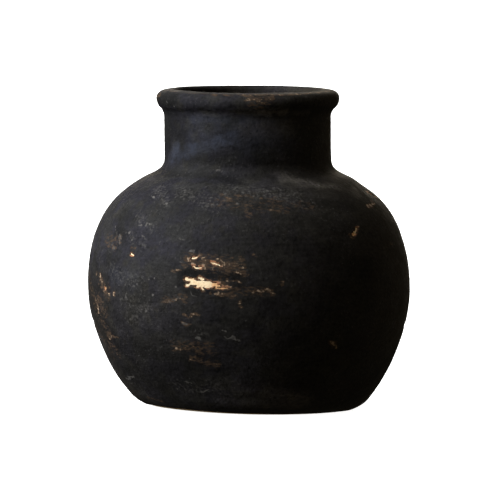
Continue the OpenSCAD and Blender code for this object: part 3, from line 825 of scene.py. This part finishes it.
class Nodes:
    """Short calls for building a material's node tree."""

    def __init__(self, name):
        self.material = bpy.data.materials.new(name)
        self.material.use_nodes = True
        self.tree = self.material.node_tree
        self.tree.nodes.clear()
        self.shader = self.tree.nodes.new("ShaderNodeBsdfPrincipled")
        output = self.tree.nodes.new("ShaderNodeOutputMaterial")
        self.tree.links.new(self.shader.outputs[0], output.inputs[0])
        self.object = self.tree.nodes.new("ShaderNodeTexCoord").outputs["Object"]

    def put(self, socket, value):
        if isinstance(value, bpy.types.NodeSocket):
            self.tree.links.new(value, socket)
        else:
            socket.default_value = value

    def coordinates(self, x, y, z):
        """Places in mm, divided by a size in each direction."""
        node = self.tree.nodes.new("ShaderNodeMapping")
        self.put(node.inputs["Vector"], self.object)
        node.inputs["Scale"].default_value = (1000 / x, 1000 / y, 1000 / z)
        return node.outputs[0]

    def noise(self, size, detail, rough, stretch=1.0):
        """Noise with features of a size in mm, wider than high if it is stretched."""
        node = self.tree.nodes.new("ShaderNodeTexNoise")
        self.put(node.inputs["Vector"], self.coordinates(size * stretch, size * stretch, size))
        node.inputs["Scale"].default_value = 1.0
        node.inputs["Detail"].default_value = detail
        node.inputs["Roughness"].default_value = rough
        return node.outputs["Fac"]

    def value(self, name):
        """A value kept with the mesh's points."""
        node = self.tree.nodes.new("ShaderNodeAttribute")
        node.attribute_name = name
        return node.outputs["Fac"]

    def math(self, operation, a, b=0.0, c=0.0):
        node = self.tree.nodes.new("ShaderNodeMath")
        node.operation = operation
        for socket, value in zip(node.inputs, (a, b, c)):
            self.put(socket, value)
        return node.outputs[0]

    def times(self, a, b):
        return self.math("MULTIPLY", a, b)

    def vary(self, value, pattern, amount):
        """A value moved by an amount of the pattern's departure from its middle."""
        return self.math("MULTIPLY_ADD", self.math("SUBTRACT", pattern, 0.5), amount, value)

    def ramp(self, value, low, high, to_low=0.0, to_high=1.0):
        node = self.tree.nodes.new("ShaderNodeMapRange")
        node.interpolation_type = "SMOOTHSTEP"
        for socket, v in zip(node.inputs, (value, low, high, to_low, to_high)):
            self.put(socket, v)
        return node.outputs[0]

    def mix(self, factor, a, b):
        node = self.tree.nodes.new("ShaderNodeMix")
        node.data_type = "RGBA"
        self.put(node.inputs["Factor"], factor)
        for key, colour in (("A", a), ("B", b)):
            socket = [i for i in node.inputs if i.name == key and i.type == "RGBA"][0]
            self.put(socket, colour if isinstance(colour, bpy.types.NodeSocket)
                     else (*colour, 1.0))
        return [o for o in node.outputs if o.type == "RGBA"][0]

    def scaled(self, colour, factor):
        node = self.tree.nodes.new("ShaderNodeVectorMath")
        node.operation = "SCALE"
        self.put(node.inputs[0], colour)
        self.put(node.inputs["Scale"], factor)
        return node.outputs[0]

    def bump(self, height, distance, strength):
        node = self.tree.nodes.new("ShaderNodeBump")
        node.inputs["Strength"].default_value = strength
        node.inputs["Distance"].default_value = distance
        self.put(node.inputs["Height"], height)
        return node.outputs[0]


def make_coat_material():
    n = Nodes("black_coat")
    hue = n.noise(12, 3, 0.55)
    blotch = n.noise(5.5, 5, 0.62)
    zone = n.noise(19, 3, 0.5)
    grit = n.noise(1.6, 3, 0.6)
    speck = n.noise(1.25, 2.5, 0.55)
    streak = n.noise(1.5, 4, 0.6, stretch=6)
    scuff = n.noise(1.0, 3, 0.6, stretch=2.6)
    dust = n.noise(2.0, 3, 0.7, stretch=1.5)
    # blue-black, violet and olive in patches, and warmer where a warm cast of light is painted
    colour = n.mix(n.ramp(hue, 0.42, 0.58), BLUE_BLACK, VIOLET_BLACK)
    colour = n.mix(n.ramp(n.noise(8, 3, 0.6), 0.54, 0.68, 0, 0.6), colour, OLIVE_BLACK)
    colour = n.mix(n.times(n.value("warm_light"), 0.75), colour, WARM_LIGHT_BLACK)
    # cloudy, pitted and wiped, and paler with painted light and darker with painted shade and
    # where the coat is thick
    cloud = n.math("MULTIPLY_ADD", blotch, 1.9, 0.05)
    cloud = n.vary(cloud, streak, 0.9)
    cloud = n.vary(cloud, grit, 1.6)
    cloud = n.vary(cloud, zone, 0.8)
    coat_and_light_tone = n.math("POWER", 4.0, n.value("tone"))
    colour = n.scaled(colour, n.times(n.math("MAXIMUM", cloud, 0.3), coat_and_light_tone))
    # gritty specks in patches, and pits
    patch = n.ramp(zone, 0.44, 0.60, 0.10, 0.55)
    colour = n.mix(n.times(n.ramp(speck, 0.59, 0.72), patch), colour, GRIT_GREY)
    colour = n.mix(n.times(n.ramp(speck, 0.40, 0.28), 0.75), colour, PIT_BLACK)
    # bloom, partly blue-grey haze and partly painted light on the throat and the neck
    bloom_and_light = n.times(n.value("bloom_and_light"), n.ramp(blotch, 0.38, 0.60, 0.45, 1.0))
    colour = n.mix(bloom_and_light, colour, BLOOM_AND_LIGHT_BLUE)
    # rubbed places: brown at first, tan where the rubbing is strongest, redder round a chip
    rubbed = n.value("rubbed")
    brown = n.vary(rubbed, scuff, 2.6)
    brown = n.times(n.ramp(brown, 0.14, 0.85, 0, 0.8), n.ramp(rubbed, 0.03, 0.25))
    colour = n.mix(brown, colour, RUBBED_BROWN)
    tan = n.vary(n.vary(rubbed, grit, 2.0), scuff, 1.2)
    tan = n.times(n.ramp(tan, 0.76, 1.15), n.ramp(rubbed, 0.15, 0.5))
    colour = n.mix(tan, colour, n.mix(n.value("fringe"), RUBBED_TAN, FRINGE_TAN))
    # dust, and partly a painted highlight on the right shoulder
    dust_and_highlight = n.value("dust_and_highlight")
    powder_and_highlight = n.vary(n.vary(dust_and_highlight, dust, 1.3), speck, 2.0)
    powder_and_highlight = n.times(n.ramp(powder_and_highlight, 0.25, 1.05, 0, 0.85), n.ramp(dust_and_highlight, 0.02, 0.8))
    colour = n.mix(powder_and_highlight, colour, DUST_AND_HIGHLIGHT_GREY)
    n.put(n.shader.inputs["Base Color"], n.scaled(colour, COAT_BRIGHTNESS))
    rough = n.ramp(blotch, 0.35, 0.65, 0.62, 0.80)
    n.put(n.shader.inputs["Roughness"], n.math("MULTIPLY_ADD", scuff, 0.14, rough))
    n.shader.inputs["Specular IOR Level"].default_value = 0.08
    height = n.math("MULTIPLY_ADD", scuff, 0.5, n.math("ADD", grit, speck))
    n.put(n.shader.inputs["Normal"], n.bump(height, 0.00022, 0.9))
    return n.material


def make_clay_material():
    n = Nodes("buff_clay")
    broad = n.noise(5, 4, 0.6)
    grain = n.noise(0.9, 4, 0.65)
    flecks = n.noise(1.9, 2, 0.5)
    colour = n.mix(n.ramp(broad, 0.42, 0.66), BUFF, SAND)
    colour = n.mix(n.ramp(grain, 0.52, 0.75, 0, 0.7), colour, CREAM)
    colour = n.mix(n.ramp(grain, 0.46, 0.28, 0, 0.7), colour, CLAY_BROWN)
    colour = n.mix(n.ramp(flecks, 0.66, 0.72, 0, 0.6), colour, CLAY_DARK)
    ochre = n.vary(n.value("ochre"), broad, 1.6)
    colour = n.mix(n.ramp(ochre, 0.15, 0.75, 0, 0.9), colour, CLAY_OCHRE)
    # the inside is a darker grey-brown
    inside_colour = n.mix(n.ramp(broad, 0.35, 0.65), INSIDE_DARK, INSIDE_MID)
    inside_colour = n.mix(n.ramp(grain, 0.54, 0.74, 0, 0.6), inside_colour, INSIDE_PALE)
    inside = n.ramp(n.value("inside"), 0.1, 0.5)
    n.put(n.shader.inputs["Base Color"], n.mix(inside, colour, inside_colour))
    n.put(n.shader.inputs["Roughness"], n.ramp(grain, 0.3, 0.7, 0.80, 0.95))
    n.shader.inputs["Specular IOR Level"].default_value = 0.25
    n.put(n.shader.inputs["Normal"], n.bump(grain, 0.00025, 1.0))
    return n.material


def make_floor_material():
    n = Nodes("pale_floor")
    n.put(n.shader.inputs["Base Color"], n.mix(n.noise(900, 3, 0.5), FLOOR_GREY, FLOOR_PALE))
    n.shader.inputs["Roughness"].default_value = 0.9
    n.shader.inputs["Emission Color"].default_value = (1, 1, 1, 1)
    n.shader.inputs["Emission Strength"].default_value = 0.98
    return n.material


# ---------------------------------------- the pot

# lengths where the bands of the coat meet, at the clay's own joints or a few mm from them
S_WALL, S_BELLY, S_SHOULDER = (length_at(z) for z in (WALL_JOINT, BELLY_JOINT, SHOULDER_JOINT))
S_NECK, S_LIP = length_at(ROOT_C[1] - 3.2), length_at(LIP_JOINT + 1.2)
S_MOUTH = S_END - (POT_H - 6 - ROOT_C[1])
BANDS = ["foot", "lower_wall", "lower_belly", "upper_belly", "shoulder", "shoulder_top", "neck",
         "lip", "mouth"]
EDGES = [S_FOOT, (S_FOOT + S_WALL) / 2, S_WALL, S_BELLY, S_SHOULDER, (S_SHOULDER + S_NECK) / 2,
         S_NECK, S_LIP, S_MOUTH, S_END]
coat = [coat_band("coat_" + name, s0, s1) for name, s0, s1 in zip(BANDS, EDGES, EDGES[1:])]
make_clay()

coat_material, clay_material = make_coat_material(), make_clay_material()
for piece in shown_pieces():
    piece.data.materials.clear()
    piece.data.materials.append(coat_material if piece in coat else clay_material)

# ---------------------------------------- floor, light and camera

FLOOR_HALF = 60.0  # metres
floor_mesh = bpy.data.meshes.new("floor")
floor_mesh.from_pydata([(x * FLOOR_HALF, y * FLOOR_HALF, 0)
                        for x, y in ((-1, -1), (1, -1), (1, 1), (-1, 1))], [], [(0, 1, 2, 3)])
floor = bpy.data.objects.new("floor", floor_mesh)
bpy.context.collection.objects.link(floor)
floor.data.materials.append(make_floor_material())
floor.visible_diffuse = False
floor.visible_glossy = False


def sun(name, azimuth, elevation, strength, softness, colour):
    """A soft light from an azimuth, which is counted as the angles round the pot are."""
    light = bpy.data.lights.new(name, "SUN")
    light.energy = strength
    light.angle = math.radians(softness)
    light.color = colour
    obj = bpy.data.objects.new(name, light)
    bpy.context.collection.objects.link(obj)
    a, e = math.radians(azimuth), math.radians(elevation)
    place = Vector((math.sin(a) * math.cos(e), -math.cos(a) * math.cos(e), math.sin(e)))
    obj.rotation_euler = place.to_track_quat("Z", "Y").to_euler()


sun("key", -80, 34, 8.0, 60, (0.97, 0.985, 1.0))
sun("side", 122, 18, 0.26, 70, (1.0, 0.86, 0.66))
sun("back", 178, 14, 1.15, 30, (1.0, 0.88, 0.70))

world = bpy.data.worlds.new("studio")
bpy.context.scene.world = world
world.use_nodes = True
background = world.node_tree.nodes["Background"]
background.inputs["Color"].default_value = (1.0, 0.86, 0.62, 1)
background.inputs["Strength"].default_value = 0.082

# a long lens, far off and a little above the pot, in metres
CAMERA_X, DISTANCE, EYE, AIM = -0.0009, 5.300, 0.390, 0.07415
ROLL = 0.8  # degrees
SENSOR = 36  # mm
PICTURE = 500  # picture points across
SCALE = 2.132  # picture points for each millimetre at the pot
camera_data = bpy.data.cameras.new("camera")
camera = bpy.data.objects.new("camera", camera_data)
bpy.context.collection.objects.link(camera)
down = math.atan2(EYE - AIM, DISTANCE)
camera.location = (CAMERA_X, -DISTANCE, EYE)
tilted = Euler((math.radians(90) - down, 0, 0)).to_matrix()
camera.rotation_euler = (tilted @ Matrix.Rotation(math.radians(ROLL), 3, "Z")).to_euler()
camera_data.sensor_width = SENSOR
camera_data.lens = math.hypot(DISTANCE, EYE - AIM) * 1000 * SCALE / PICTURE * SENSOR
camera_data.clip_end = 200
bpy.context.scene.camera = camera
bpy.context.scene.view_settings.view_transform = "Standard"
